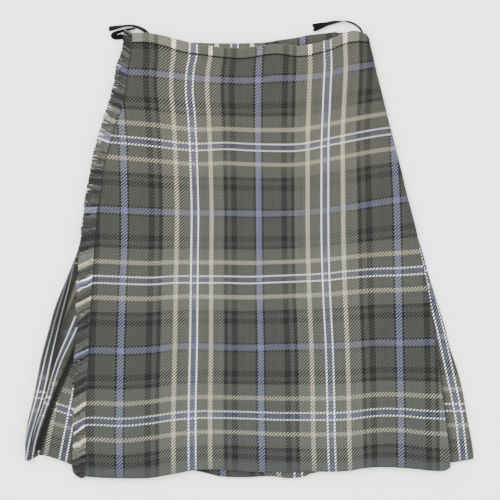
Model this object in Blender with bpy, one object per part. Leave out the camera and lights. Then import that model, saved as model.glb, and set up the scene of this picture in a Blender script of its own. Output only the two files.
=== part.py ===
"""A kilt of checked wool laid flat on a table, its front apron upwards and its waist away from the eye.

All sizes are in millimetres until a piece is placed. X runs to the viewer's right, Y from hem to waist,
Z up from the table. The origin lies on the table under the middle of the laid kilt.
"""

import math
import random
from collections import namedtuple

import bmesh
import bpy
from mathutils import Matrix, Vector

MM = 0.001

CLOTH = 1.2              # wall of the wool cloth
HALF = CLOTH / 2
AIR = 0.35               # seam gap between two pieces
BAND_AIR = 0.5           # the same under a waistband's lower edge
PRESSED_STEP = 1.55      # one layer to the next where cloth is pressed together
LOOSE_STEP = 2.3         # the same at the open hem of the back pleats

BAND_DEPTH = 14.5        # waistband on the outside
BAND_TURNED_IN = 8.0     # waistband on the inside
BAND_CLEARANCE = 1.8     # from the waistband's top edge down to the panel inside it
BACK_BAND_LIFT = 1.6     # the back band lies between the pleats and the table
FRONT_BAND_END = 0.992   # share of the apron's width where the front band stops, short of the fold

PLEATS_AT_BACK = 20
PLEAT_CLIMB = 5.6        # a tucked layer ends this far from the next pleat's fold
FLOOR_AIR = 0.1          # lets a sloping stretch clear the table
APRON_COLUMNS = 22
SIDE_TURN = 7.5          # how far a side pleat turns in under the kilt
BACK_ROWS = (1.0, 0.84, 0.65, 0.5, 0.42, 0.25, 0.07, 0.03, 0.0)
SIDE_GAP = 2.0           # from there to the first and last back pleat
SIDE_PLEAT_TOP = 16.5    # side pleats start below the waistband
SIDE_LEVEL = 7.4         # middle of the lowest layer of a side pleat
SIDE_LAP = 30.0          # side pleats run in under the apron this far
APRON_TUCK = 40.0        # apron cloth folded under at its right edge
TUCK_OPENING = 2.45      # layers' room in that fold at the waist, where the waistband turns into it
LOCKS = 120             # locks of fringe on the apron's left edge
FRINGE_STRIP = 2.4       # woven strip that holds the locks
RIBBON_WIDTH = 7.0
RIBBON_WALL = 1.0

WOOL = (0.20, 0.20, 0.18, 1.0)
WOOL_PALE = (0.34, 0.34, 0.30, 1.0)
FRINGE_WOOL = (0.26, 0.26, 0.25, 1.0)
RIBBON_BLACK = (0.012, 0.012, 0.013, 1.0)

# Lines that run from waist to hem: where each lies across the kilt at a height Y.
Side = namedtuple("Side", "y fringe_line apron_fold pleats_left pleats_right fringe_tips")
SIDES = [
    Side(300, -161, 163.0, -160.0, 161.0, -173.5),
    Side(250, -168, 174.0, -175.5, 173.0, -184.0),
    Side(200, -175, 187.0, -188.0, 185.0, -195.0),
    Side(150, -192, 199.5, -200.0, 198.0, -210.0),
    Side(100, -204, 211.7, -213.0, 210.0, -221.5),
    Side(50, -210, 224.0, -222.5, 223.0, -229.5),
    Side(0, -214, 235.0, -235.5, 239.3, -236.5),
    Side(-50, -218, 245.0, -258.5, 253.4, -240.5),
    Side(-100, -220, 253.0, -275.5, 268.8, -242.0),
    Side(-150, -223, 260.0, -288.7, 283.0, -246.0),
    Side(-200, -225, 266.0, -298.0, 296.0, -246.0),
    Side(-250, -226, 272.5, -309.5, 305.0, -246.0),
    Side(-280, -226, 275.7, -310.4, 310.2, -245.0),
    Side(-316, -227, 277.0, -310.4, 311.0, -237.5),
]

# The waist edge of the front and of the back at X.
Waist = namedtuple("Waist", "x front back")
WAIST = [
    Waist(-163, 299.0, 297.0),
    Waist(-137, 298.5, 297.0),
    Waist(-102, 290.5, 289.0),
    Waist(-58, 281.0, 285.2),
    Waist(-26, 278.0, 285.1),
    Waist(1, 278.8, 285.0),
    Waist(40, 282.5, 289.0),
    Waist(70, 281.0, 294.0),
    Waist(100, 286.4, 298.5),
    Waist(125, 295.6, 301.0),
    Waist(142, 301.5, 300.0),
    Waist(157, 299.5, 298.0),
    Waist(165, 293.5, 292.0),
]

# The hem of the front apron at X.
Hem = namedtuple("Hem", "x y")
FRONT_HEM = [
    Hem(-231, -312.5),
    Hem(-206, -314.6),
    Hem(-137, -315.3),
    Hem(-98, -308.4),
    Hem(-40, -303.6),
    Hem(1, -306.4),
    Hem(45, -307.0),
    Hem(106, -306.8),
    Hem(142, -304.6),
    Hem(175, -300.5),
    Hem(230, -302.8),
    Hem(263, -305.7),
    Hem(277, -304.3),
]

# The hem of the pleats, which hang lower than the apron in the middle of the back.
PLEAT_HEM = [
    Hem(-311, -291.0),
    Hem(-302, -291.0),
    Hem(-296, -288.5),
    Hem(-289, -287.5),
    Hem(-277, -288.5),
    Hem(-258, -291.0),
    Hem(-244, -299.5),
    Hem(-206, -305.7),
    Hem(-151, -307.0),
    Hem(-95, -303.0),
    Hem(-57, -309.8),
    Hem(-44, -313.4),
    Hem(-8, -315.0),
    Hem(28, -313.4),
    Hem(52, -316.0),
    Hem(74, -314.6),
    Hem(84, -310.0),
    Hem(107, -305.7),
    Hem(132, -300.0),
    Hem(208, -296.0),
    Hem(263, -295.5),
    Hem(291, -293.0),
    Hem(311, -289.0),
]

# Underside of the apron above the table: down the kilt, and across it from fringe to folded edge.
Lift = namedtuple("Lift", "down edge inside_edge centre inside_fold fold")
APRON_LIFT = [
    Lift(0.00, 12.8, 13.6, 13.6, 13.6, 11.8),
    Lift(0.03, 12.7, 13.6, 13.6, 13.6, 11.8),
    Lift(0.08, 12.3, 12.6, 11.8, 12.2, 11.0),
    Lift(0.25, 11.9, 11.5, 10.2, 10.8, 10.3),
    Lift(0.50, 11.8, 11.2, 9.4, 10.6, 10.3),
    Lift(0.75, 11.8, 10.9, 8.9, 10.5, 10.3),
    Lift(1.00, 11.2, 10.5, 8.6, 10.5, 10.3),
]
LIFT_ACROSS = (0.0, 0.12, 0.5, 0.86, 1.0)

# Soft ridges that rise towards the apron's hem.
Ridge = namedtuple("Ridge", "x width height reach")
APRON_RIDGES = [
    Ridge(-176, 30, 2.6, 0.42),
    Ridge(-88, 24, 3.4, 0.55),
    Ridge(-14, 34, 2.2, 0.36),
    Ridge(74, 26, 3.1, 0.48),
    Ridge(150, 30, 2.4, 0.60),
    Ridge(214, 22, 2.0, 0.34),
]

# Underside of the under apron above the table.
UNDER_LIFT = [
    Hem(0.00, 9.1),
    Hem(0.03, 9.1),
    Hem(0.10, 7.0),
    Hem(0.30, 6.4),
    Hem(1.00, 6.4),
]

# Fold lines of the three pleats that show beside the fringe, from the outside inwards.
LeftPleats = namedtuple("LeftPleats", "y outer_fold middle_fold inner_edge stack")
LEFT_PLEATS = [
    LeftPleats(300, -151, -143, -140, 0.0),
    LeftPleats(150, -188, -177, -173, 0.0),
    LeftPleats(50, -210, -197, -193, 0.0),
    LeftPleats(0, -222, -206, -201, 0.0),
    LeftPleats(-50, -244, -216, -210, 0.0),
    LeftPleats(-100, -257, -229, -221, 0.3),
    LeftPleats(-150, -268, -248.4, -243, 1.0),
    LeftPleats(-200, -281, -270.3, -263.5, 1.0),
    LeftPleats(-250, -297.5, -287.5, -281, 1.0),
    LeftPleats(-280, -302.0, -296.0, -288.5, 1.0),
    LeftPleats(-316, -303.0, -298.0, -288, 1.0),
]

# The middle line of each hanger ribbon, with its lean: 90 stands on edge, 0 lies flat.
Ribbon = namedtuple("Ribbon", "x y z lean")
RIGHT_LOOP = [
    Ribbon(157.5, 297.2, 4.6, 90),
    Ribbon(156.8, 302.2, 4.6, 90),
    Ribbon(152.5, 307.4, 4.6, 90),
    Ribbon(144.5, 311.4, 4.6, 90),
    Ribbon(135.0, 313.5, 4.6, 84),
    Ribbon(125.0, 313.0, 4.4, 70),
    Ribbon(115.0, 311.4, 3.8, 48),
    Ribbon(105.0, 310.0, 2.6, 26),
    Ribbon(96.0, 309.2, 1.6, 12),
    Ribbon(89.0, 308.8, 1.2, 8),
]
LEFT_LOOP = [
    Ribbon(-140.6, 298.1, 5.0, 64),
    Ribbon(-144.8, 302.2, 5.0, 64),
    Ribbon(-151.5, 306.0, 5.0, 68),
    Ribbon(-159.0, 308.6, 4.8, 74),
    Ribbon(-167.0, 309.6, 4.8, 80),
    Ribbon(-176.0, 308.4, 4.6, 74),
    Ribbon(-185.0, 306.9, 3.8, 52),
    Ribbon(-192.5, 305.6, 2.8, 40),
]
LEFT_TAIL = [
    Ribbon(-189.5, 301.2, 2.4, 30),
    Ribbon(-184.5, 299.0, 3.4, 34),
    Ribbon(-180.5, 296.0, 1.8, 18),
    Ribbon(-176.5, 293.8, 4.0, 40),
    Ribbon(-173.5, 290.4, 2.0, 16),
    Ribbon(-171.5, 286.4, 1.2, 8),
]


def blend(a, b, share):
    return a + (b - a) * share


def soft_step(value):
    held = min(1.0, max(0.0, value))
    return held * held * (3.0 - 2.0 * held)


def read(table, column, at):
    """Value of a table's named column at a value of its first column, on a smooth curve."""
    rows = sorted(table, key=lambda row: row[0])
    keys = [row[0] for row in rows]
    values = [getattr(row, column) for row in rows]
    return smooth_value(keys, values, at)


def smooth_value(keys, values, at):
    at = min(keys[-1], max(keys[0], at))
    i = 0
    while i < len(keys) - 2 and at > keys[i + 1]:
        i += 1
    slopes = []
    for k in (i, i + 1):
        low = max(0, k - 1)
        high = min(len(keys) - 1, k + 1)
        slopes.append((values[high] - values[low]) / (keys[high] - keys[low]))
    span = keys[i + 1] - keys[i]
    t = (at - keys[i]) / span
    rise = values[i + 1] - values[i]
    start = slopes[0] * span - rise
    end = -slopes[1] * span + rise
    return values[i] + t * rise + t * (1 - t) * (start * (1 - t) + end * t)


def clear_scene():
    for item in list(bpy.data.objects):
        bpy.data.objects.remove(item, do_unlink=True)


def finish(name, colour, roughness):
    material = bpy.data.materials.new(name)
    material.use_nodes = True
    shader = material.node_tree.nodes["Principled BSDF"]
    shader.inputs["Base Color"].default_value = colour
    shader.inputs["Roughness"].default_value = roughness
    shader.inputs["Metallic"].default_value = 0.0
    return material


def add_object(name, bm, material):
    mesh = bpy.data.meshes.new(name)
    bm.to_mesh(mesh)
    bm.free()
    mesh.materials.append(material)
    item = bpy.data.objects.new(name, mesh)
    bpy.context.scene.collection.objects.link(item)
    return item


def cloth_sheet(name, grid, material, wall=CLOTH):
    """A wall of cloth around a grid of middle points, given in rows from hem to waist."""
    across = len(grid[0]) - 1
    along = len(grid) - 1
    bm = bmesh.new()
    bmesh.ops.create_grid(bm, x_segments=across, y_segments=along, size=1.0)
    bm.verts.ensure_lookup_table()
    for index, vert in enumerate(bm.verts):
        row, place = divmod(index, across + 1)
        vert.co = Vector(grid[row][place]) * MM
    item = add_object(name, bm, material)
    wall_maker = item.modifiers.new("Cloth wall", "SOLIDIFY")
    wall_maker.thickness = wall * MM
    wall_maker.offset = 0.0
    wall_maker.use_even_offset = True
    wall_maker.use_quality_normals = True
    wall_maker.use_rim = True
    return item


def shares(count):
    return [k / count for k in range(count + 1)]


def from_hem(values):
    return [1.0 - value for value in values]


# Outer apron


def apron_place(across, down):
    """X and Y of the apron's cloth, from fringe to folded edge and from waist to hem."""
    top = read(WAIST, "front", blend(-161, 164, across)) - BAND_CLEARANCE
    hem = read(FRONT_HEM, "y", blend(-227, 277, across))
    y = blend(top, hem, down)
    left = read(SIDES, "fringe_line", y)
    right = read(SIDES, "apron_fold", y) - HALF
    return blend(left, right, across), y


def apron_height(across, down):
    """Middle of the apron's cloth above the table."""
    columns = [read(APRON_LIFT, name, down) for name in Lift._fields[1:]]
    height = smooth_value(LIFT_ACROSS, columns, across) + HALF
    hem_x = blend(-227, 277, across)
    for ridge in APRON_RIDGES:
        bell = math.exp(-((hem_x - ridge.x) / ridge.width) ** 2)
        height += ridge.height * bell * soft_step((down - 1 + ridge.reach) / ridge.reach)
    return height


def apron_grid(columns, rows):
    grid = []
    for down in from_hem(rows):
        line = []
        for across in columns:
            x, y = apron_place(across, down)
            line.append((x, y, apron_height(across, down)))
        width = line[-1][0] - line[0][0]
        step = PRESSED_STEP * blend(TUCK_OPENING, 1.0, soft_step(down / 0.1))
        for share in (0.0, 0.3, 0.65, 1.0):
            across = 1.0 - APRON_TUCK * share / width
            x, y = apron_place(across, down)
            line.append((x, y, apron_height(across, down) - step))
        grid.append(line)
    return grid


def outer_apron(grid, material):
    return cloth_sheet("outer_apron", grid, material)


def straight_value(points, at):
    """X and Z on a line of points at a height Y, straight between the points."""
    at = min(points[-1][1], max(points[0][1], at))
    for low, high in zip(points, points[1:]):
        if at <= high[1]:
            break
    share = (at - low[1]) / (high[1] - low[1])
    return blend(low[0], high[0], share), blend(low[2], high[2], share)


# Waistbands


def band_grid(columns, edge, level, lower_air):
    """A band folded over a panel's top edge, with its deep leg outside."""
    grid = []
    section = [
        (BAND_DEPTH, HALF + lower_air),
        (BAND_DEPTH / 2, HALF + AIR),
        (HALF, HALF + AIR),
        (HALF, -HALF - AIR - CLOTH),
        (BAND_TURNED_IN, -HALF - AIR - CLOTH),
    ]
    for below, offset in section:
        line = []
        for share in columns:
            x, y = edge(share)
            line.append((x, y - below, level(share) + offset))
        grid.append(line)
    return grid


def front_edge(share):
    x = blend(-161, 164, share)
    y = read(WAIST, "front", x)
    return x, y


def waistband_front(material):
    def level(share):
        return apron_height(share, 0.0) + HALF

    columns = shares(APRON_COLUMNS)[:-1] + [FRONT_BAND_END]
    grid = band_grid(columns, front_edge, level, BAND_AIR)
    return cloth_sheet("waistband_front", grid, material)


def under_edge(share):
    x = blend(-128, 121, share)
    return x, read(WAIST, "back", x)


def waistband_under(material):
    def level(share):
        return read(UNDER_LIFT, "y", 0.0) + CLOTH

    grid = band_grid(shares(18), under_edge, level, AIR)
    return cloth_sheet("waistband_under", grid, material)


def back_edge(share):
    x = blend(-160, 163, share)
    return x, read(WAIST, "back", x) - 0.8


def waistband_back(material):
    """Its deep leg lies on the table, under the pleats."""
    stack = BACK_BAND_LIFT + 2 * PRESSED_STEP + CLOTH
    grid = []
    floor = HALF + FLOOR_AIR
    section = [
        (BAND_TURNED_IN, stack + AIR + HALF),
        (HALF, stack + AIR + HALF),
        (HALF, floor),
        (BAND_DEPTH / 2, floor),
        (BAND_DEPTH, floor),
    ]
    for below, height in section:
        line = []
        for share in shares(22):
            x, y = back_edge(share)
            line.append((x, y - below, height))
        grid.append(line)
    return cloth_sheet("waistband_back", grid, material)


# Under apron


def under_place(across, down):
    top = read(WAIST, "back", blend(-128, 121, across)) - BAND_CLEARANCE
    hem = read(PLEAT_HEM, "y", blend(-195, 235, across)) + 3.0
    y = blend(top, hem, down)
    left = read(SIDES, "fringe_line", y) + SIDE_LAP + 4.0
    right = read(SIDES, "apron_fold", y) - APRON_TUCK - 3.0
    return blend(left, right, across), y


def under_apron(material):
    grid = []
    for down in from_hem((0.0, 0.15, 0.3, 0.45, 0.6, 0.75, 0.9, 0.97, 1.0)):
        line = []
        for across in shares(14):
            x, y = under_place(across, down)
            line.append((x, y, read(UNDER_LIFT, "y", down) + HALF))
        grid.append(line)
    return cloth_sheet("under_apron", grid, material)


# Pleated back


def back_place(across, down):
    """X and Y on the pleated back, between the turned-in edges of the side pleats."""
    top = read(WAIST, "back", blend(-150, 152, across)) - 2.2 - BAND_CLEARANCE
    hem = read(PLEAT_HEM, "y", blend(-301, 301, across))
    y = blend(top, hem, down)
    left = read(SIDES, "pleats_left", y) + SIDE_TURN + SIDE_GAP
    right = read(SIDES, "pleats_right", y) - SIDE_TURN - SIDE_GAP
    return blend(left, right, across), y


def back_line(folds, down):
    """One row across the back: each pleat runs on the table, climbs over its neighbour and tucks back."""
    step = blend(PRESSED_STEP, LOOSE_STEP, soft_step((down - 0.2) / 0.6))
    sewn = 1 - soft_step((down - 0.03) / 0.04)
    floor = HALF + BACK_BAND_LIFT * sewn + (FLOOR_AIR if down < 0.25 else 0.0)
    width = back_place(1.0, down)[0] - back_place(0.0, down)[0]
    line = []
    for k in range(len(folds) - 1):
        left = folds[k]
        right = folds[k + 1]
        section = [(left, floor), (right - 3.6 / width, floor), (right - 2.2 / width, floor + 2 * step)]
        if k < len(folds) - 2:
            tucked = folds[k + 2] - PLEAT_CLIMB / width
            section += [(tucked, floor + 2 * step), (tucked, floor + step), (right, floor + step)]
        for across, height in section:
            x, y = back_place(across, down)
            line.append((x, y, height))
    return line


def pleated_back(material):
    chance = random.Random(7)
    folds = [0.0]
    for k in range(1, PLEATS_AT_BACK):
        folds.append((k + chance.uniform(-0.1, 0.1)) / PLEATS_AT_BACK)
    folds.append(1.0)
    grid = [back_line(folds, down) for down in BACK_ROWS]
    return cloth_sheet("pleated_back", grid, material)


# Side pleats


def side_y(x_top, x_hem, down):
    top = read(WAIST, "back", x_top) - SIDE_PLEAT_TOP
    return blend(top, read(PLEAT_HEM, "y", x_hem), down)


def left_section(y):
    """Half section of the left side pleats at a height Y, from under the kilt round to the apron."""
    outline = read(SIDES, "pleats_left", y)
    outer = read(LEFT_PLEATS, "outer_fold", y)
    middle = read(LEFT_PLEATS, "middle_fold", y)
    inner = read(LEFT_PLEATS, "inner_edge", y)
    stack = min(1.0, max(0.0, read(LEFT_PLEATS, "stack", y)))
    end = read(SIDES, "fringe_line", y) + SIDE_LAP
    step = PRESSED_STEP
    middle_top = SIDE_LEVEL + 2 * step
    outer_top = middle_top + stack * 2 * step
    outer_width = outer - outline
    middle_width = middle - outer
    tuck = 0.4 * outer_width
    middle_tuck = max(3.6, 0.45 * middle_width)
    return [
        (outline + SIDE_TURN, HALF + FLOOR_AIR),
        (outline + 2.6, HALF + FLOOR_AIR),
        (outline + HALF, 2.6),
        (outline + HALF, 5.0),
        (outline + 0.2 * outer_width, outer_top - 1.5),
        (outline + 0.5 * outer_width, outer_top),
        (outer, outer_top),
        (outer, outer_top - step),
        (outer - tuck, outer_top - step),
        (outer - tuck, outer_top - 2 * step),
        (outer + 1.0, outer_top - 2 * step),
        (outer + 0.42 * middle_width, middle_top),
        (middle, middle_top),
        (middle, middle_top - step),
        (middle - middle_tuck, middle_top - step),
        (middle - middle_tuck, SIDE_LEVEL),
        (blend(middle, inner, 0.5), SIDE_LEVEL),
        (inner + 0.6, SIDE_LEVEL + 0.5),
        (inner + 4.0, SIDE_LEVEL + 1.5),
        (blend(inner, end, 0.6), SIDE_LEVEL + 0.8),
        (end, SIDE_LEVEL),
    ]


def side_pleats_left(material):
    grid = []
    for down in from_hem(shares(15)):
        first = left_section(side_y(-150, -280, down))
        line = []
        for place, (x, z) in enumerate(first):
            y = side_y(blend(-150, -131, place / 20), x, down)
            exact_x, exact_z = left_section(y)[place]
            line.append((exact_x, y, exact_z))
        grid.append(line)
    return cloth_sheet("side_pleats_left", grid, material)


def right_section(y):
    """Section of the right side pleat at a height Y, from under the kilt round to the apron."""
    outline = read(SIDES, "pleats_right", y)
    end = read(SIDES, "apron_fold", y) - SIDE_LAP
    return [
        (outline - SIDE_TURN, HALF + FLOOR_AIR),
        (outline - 2.6, HALF + FLOOR_AIR),
        (outline - HALF, 2.4),
        (outline - HALF, 4.6),
        (outline - 2.4, SIDE_LEVEL - 1.0),
        (outline - 6.5, SIDE_LEVEL),
        (blend(outline, end, 0.6), SIDE_LEVEL),
        (end, SIDE_LEVEL),
    ]


def side_pleats_right(material):
    grid = []
    for down in from_hem(shares(13)):
        first = right_section(side_y(163, 295, down))
        line = []
        for place, (x, z) in enumerate(first):
            y = side_y(163, x, down)
            exact_x, exact_z = right_section(y)[place]
            line.append((exact_x, y, exact_z))
        grid.append(line)
    return cloth_sheet("side_pleats_right", grid, material)


# Fringe


def fringe_direction(y):
    """Degrees that a lock leans: up at the waist, down at the hem."""
    return blend(-24, 24, soft_step((y + 300) / 600))


def apron_fringe(grid, material):
    """A narrow strip beside the apron's raw edge, with one lock after another on its outer side."""
    chance = random.Random(11)
    edge = [line[0] for line in grid]
    top = 296.0
    bottom = -312.0
    pitch = (top - bottom) / LOCKS
    bm = bmesh.new()
    bmesh.ops.create_grid(bm, x_segments=1, y_segments=2 * LOCKS, size=1.0)
    bm.verts.ensure_lookup_table()
    for index, vert in enumerate(bm.verts):
        row, side = divmod(index, 2)
        lock, is_end = divmod(row, 2)
        y = bottom + pitch * (lock + 0.72 * is_end)
        x, z = straight_value(edge, y)
        if side == 0:
            x -= FRINGE_STRIP
        vert.co = Vector((x - AIR, y, z - HALF)) * MM
    whole = bmesh.ops.extrude_face_region(bm, geom=list(bm.faces))
    raised = [part for part in whole["geom"] if isinstance(part, bmesh.types.BMVert)]
    bmesh.ops.translate(bm, verts=raised, vec=Vector((0, 0, CLOTH)) * MM)
    bmesh.ops.recalc_face_normals(bm, faces=list(bm.faces))
    outward = [face for face in bm.faces if face.normal.x < -0.5]
    outward.sort(key=lambda face: face.calc_center_median().y)
    roots = outward[::2]
    for share, thinning in ((0.5, 0.72), (1.0, 0.45)):
        ends = bmesh.ops.extrude_discrete_faces(bm, faces=roots)["faces"]
        ends.sort(key=lambda face: face.calc_center_median().y)
        for face in ends:
            middle = face.calc_center_median()
            y = middle.y / MM
            reach = read(SIDES, "fringe_line", y) - read(SIDES, "fringe_tips", y) - FRINGE_STRIP
            turn = math.radians(fringe_direction(y) + chance.uniform(-3.5, 3.5))
            length = 0.5 * reach * chance.uniform(0.88, 1.02)
            dip = -0.25 * share
            way = Vector((-math.cos(turn) * length, math.sin(turn) * length, dip))
            bmesh.ops.scale(
                bm,
                vec=Vector((1, thinning, thinning)),
                verts=list(face.verts),
                space=matrix_to(middle),
            )
            bmesh.ops.translate(bm, verts=list(face.verts), vec=way * MM)
        roots = ends
    return add_object("apron_fringe", bm, material)


def matrix_to(middle):
    return Matrix.Translation(-middle)


# Hanger ribbons


def ribbon_rails(stations):
    """Middle point, width direction and normal of a ribbon at each of its stations."""
    points = [Vector((row.x, row.y, row.z)) for row in stations]
    rails = []
    for k, row in enumerate(stations):
        ahead = points[min(k + 1, len(points) - 1)]
        behind = points[max(k - 1, 0)]
        heading = (ahead - behind).normalized()
        level_side = Vector((-heading.y, heading.x, 0)).normalized()
        lean = math.radians(row.lean)
        width = level_side * math.cos(lean) + Vector((0, 0, 1)) * math.sin(lean)
        width = (width - heading * width.dot(heading)).normalized()
        rails.append((points[k], width, heading.cross(width)))
    return rails


def hanger_loop(name, stations, material, spread=1.6):
    """A ribbon that runs out along its stations, turns at the tip and comes back beside itself."""
    rails = ribbon_rails(stations)
    tip, tip_width, tip_normal = rails[-1]
    heading = tip - rails[-2][0]
    heading.normalize()
    middle_line = [(point, width) for point, width, normal in rails]
    middle_line.append((tip + heading * 1.4 + tip_normal * spread / 2, tip_width))
    for point, width, normal in reversed(rails):
        middle_line.append((point + normal * spread, width))
    return ribbon_sheet(name, middle_line, material)


def ribbon_sheet(name, middle_line, material):
    rows = []
    for side in (-0.5, 0.5):
        rows.append([tuple(point + width * RIBBON_WIDTH * side) for point, width in middle_line])
    return cloth_sheet(name, rows, material, RIBBON_WALL)


def hanger_tail(name, stations, material):
    middle_line = [(point, width) for point, width, normal in ribbon_rails(stations)]
    return ribbon_sheet(name, middle_line, material)


def main():
    clear_scene()
    wool = finish("kilt_wool", WOOL, 0.9)
    pale = finish("band_wool", WOOL_PALE, 0.9)
    fringe = finish("fringe_wool", FRINGE_WOOL, 0.95)
    ribbon = finish("black_ribbon", RIBBON_BLACK, 0.6)
    apron = apron_grid(shares(APRON_COLUMNS), shares(17))
    outer_apron(apron, wool)
    under_apron(wool)
    pleated_back(wool)
    side_pleats_left(wool)
    side_pleats_right(wool)
    waistband_front(pale)
    waistband_under(pale)
    waistband_back(pale)
    apron_fringe(apron, fringe)
    hanger_loop("hanger_loop_right", RIGHT_LOOP, ribbon)
    hanger_loop("hanger_loop_left", LEFT_LOOP, ribbon)
    hanger_tail("hanger_tail_left", LEFT_TAIL, ribbon)


main()
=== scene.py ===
import math
import random
from collections import namedtuple

import bmesh
import bpy
import numpy as np
from mathutils import Matrix, Vector


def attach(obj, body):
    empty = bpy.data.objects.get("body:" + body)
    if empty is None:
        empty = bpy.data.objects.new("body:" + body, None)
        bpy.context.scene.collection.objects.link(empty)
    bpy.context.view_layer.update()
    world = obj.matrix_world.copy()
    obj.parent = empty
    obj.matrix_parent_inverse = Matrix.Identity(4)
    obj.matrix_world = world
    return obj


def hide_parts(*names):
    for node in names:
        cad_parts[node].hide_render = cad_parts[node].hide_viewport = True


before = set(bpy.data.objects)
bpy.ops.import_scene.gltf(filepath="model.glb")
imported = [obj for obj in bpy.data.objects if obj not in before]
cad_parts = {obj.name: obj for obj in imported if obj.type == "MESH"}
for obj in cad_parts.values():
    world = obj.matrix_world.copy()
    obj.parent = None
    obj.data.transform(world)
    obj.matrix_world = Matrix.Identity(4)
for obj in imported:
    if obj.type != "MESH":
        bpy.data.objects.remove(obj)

bl_info = {
    "name": "Laid Kilt",
    "version": (1, 0, 0),
    "blender": (4, 5, 0),
    "location": "View3D > Sidebar > Kilt",
    "description": "Builds a kilt of checked wool twill laid flat, piece by piece",
    "category": "Object",
}

MM = 0.001

# Sizes in millimetres
CLOTH_GAP = 0.6          # half of the solid cloth wall that the thin cloth lies in
SEAM_AIR = 0.35          # air between a band and what it folds over
FLOOR_AIR = 0.1
PRESSED_STEP = 1.55      # from one layer to the next at the sewn waist
LOOSE_STEP = 2.3         # the same where the pleats hang free
TUCK_OPENING = 2.45      # times a pressed step, how far the apron's folded edge opens below the waist
APRON_TUCK = 40          # width of the apron's turned edge
BAND_CLEARANCE = 1.8     # from a waist edge down to the cloth inside its band
BAND_TURNED_IN = 8       # inner leg of each band
BACK_BAND_LIFT = 1.6     # the band's leg under the sewn pleats
BAND_DEPTH = 14.5        # outer leg of the bands behind
BAND_POINTS_OUT = 7      # rows of a band's grid from the seam to its upper edge
PLEATS_AT_BACK = 20
PLEAT_CLIMB = 5.6        # from a hidden fold to the next pleat's edge
SIDE_TURN = 7.5          # edge that a side pleat turns under itself
SIDE_GAP = 2             # air between the back and that edge
SIDE_PLEAT_TOP = 16.5    # top of the side pleats under the waist
SIDE_LEVEL = 7.4         # height of the side pleats' lowest layer
SIDE_LAP = 30            # how far the side pleats and the under apron go under the apron
RIBBON_WIDTH = 7
RIBBON_GAP = 1.3         # between a ribbon's two runs
RIBBON_WALL = 0.45
RIBBON_POINTS = 46       # points along one run
YARN_STEPS = 5           # faces along one loose yarn
YARN_ROWS = 4            # rows of points around it, the last one on the first

# Where the edges begin and end across the kilt
APRON_WAIST = (-161, 164)
APRON_HEM = (-227, 277)
UNDER_WAIST = (-128, 121)
UNDER_HEM = (-195, 235)
BACK_TOP = (-150, 152)
BACK_HEM = (-301, 301)
STITCH_LINE = (-160.5, 162)
FRINGE_SPAN = (-314, 297.5)   # the same down the kilt, from the last yarn to the first
TUFT = (7, 17)                # fewest and most yarns in a tuft of the fringe

# The camera: half the width that it sees at the cloth, in metres, with its lens and film in millimetres
HALF_VIEW = 0.345
CLOTH_LEVEL = 0.010
LENS = 100.0
FILM = 36.0

# The check and how it is woven
HALF_SETT = 95.2         # lavender line to white and blue line, across the cloth
THREADS = 96             # threads in that half of the check, as the chart counts them
YARNS = 84               # yarns woven in the same width
BAND_YARNS = 100         # the same in the band, whose cloth is finer
WHITE_LINE = 4.96        # from the middle of a blue stripe to the middle of its white line
BAND_ROW = 0.772         # row of the check at the front band's seam
UNDER_BAND_ROW = 0.16    # the same on the two bands behind
BAND_COUNT = 0.9         # the band is cut a little off the straight, so it counts fewer rows
BAND_SHADE = 0.42        # painted light on the two bands behind
LAST_FRINGE_ROW = 5.62   # the last dark row, which the ends at the hem come from
HEM_TINT = (0.044, 0.049, 0.050, 1.0)


def table(columns, *rows):
    """Rows of numbers under named columns. The first column is what the others are looked up by."""
    row_type = namedtuple("Row", columns)
    return [row_type(*row) for row in rows]


# Lines that run from waist to hem: where each lies across the kilt at a height Y.
SIDES = table(
    "y fringe_line apron_fold pleats_left pleats_right fringe_tips",
    (300, -161, 163, -160, 161, -173.5),
    (285, -162.4, 165.4, -166.7, 165.4, -172.8),
    (264, -165.6, 170.9, -172.1, 170.9, -179.4),
    (245, -168.6, 175.4, -176.8, 175.4, -186),
    (220, -171.5, 181.8, -182.7, 181.8, -189.9),
    (199, -175, 187, -187.7, 186, -194.9),
    (175, -185.2, 192.8, -194.7, 191.8, -203.1),
    (150, -192.1, 199.5, -202.2, 198.5, -210.4),
    (126, -199, 205.3, -208.1, 204.3, -216.9),
    (107, -203.1, 210.2, -212, 209.2, -219.7),
    (81, -205.3, 216.2, -217.2, 215.2, -225.4),
    (55, -210, 223.1, -222.5, 222.1, -228.9),
    (24, -212.4, 231, -231, 231.3, -232.9),
    (-1, -214.3, 235.4, -237.7, 239.4, -236.3),
    (-35, -216.6, 242.8, -250.8, 248.6, -239.5),
    (-77, -219.2, 250.3, -268, 261.7, -242.1),
    (-107, -220.7, 254.1, -276.7, 270.9, -242.1),
    (-133, -222.1, 257.5, -283.8, 277, -244.7),
    (-157, -223.1, 261.1, -289.8, 285.2, -246.4),
    (-180, -224, 263.3, -294, 291.9, -246.5),
    (-210, -225.1, 267.4, -300.1, 298.1, -246.5),
    (-237, -226.2, 270.7, -306.5, 302.7, -246.5),
    (-264, -225.6, 274.2, -310.4, 307.8, -245.9),
    (-285, -226.2, 276.2, -310.1, 310.7, -246),
    (-304, -227.1, 277.6, -309.8, 310.8, -243.6),
    (-316, -227.3, 277.6, -309.8, 310.8, -231.5),
)

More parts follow.
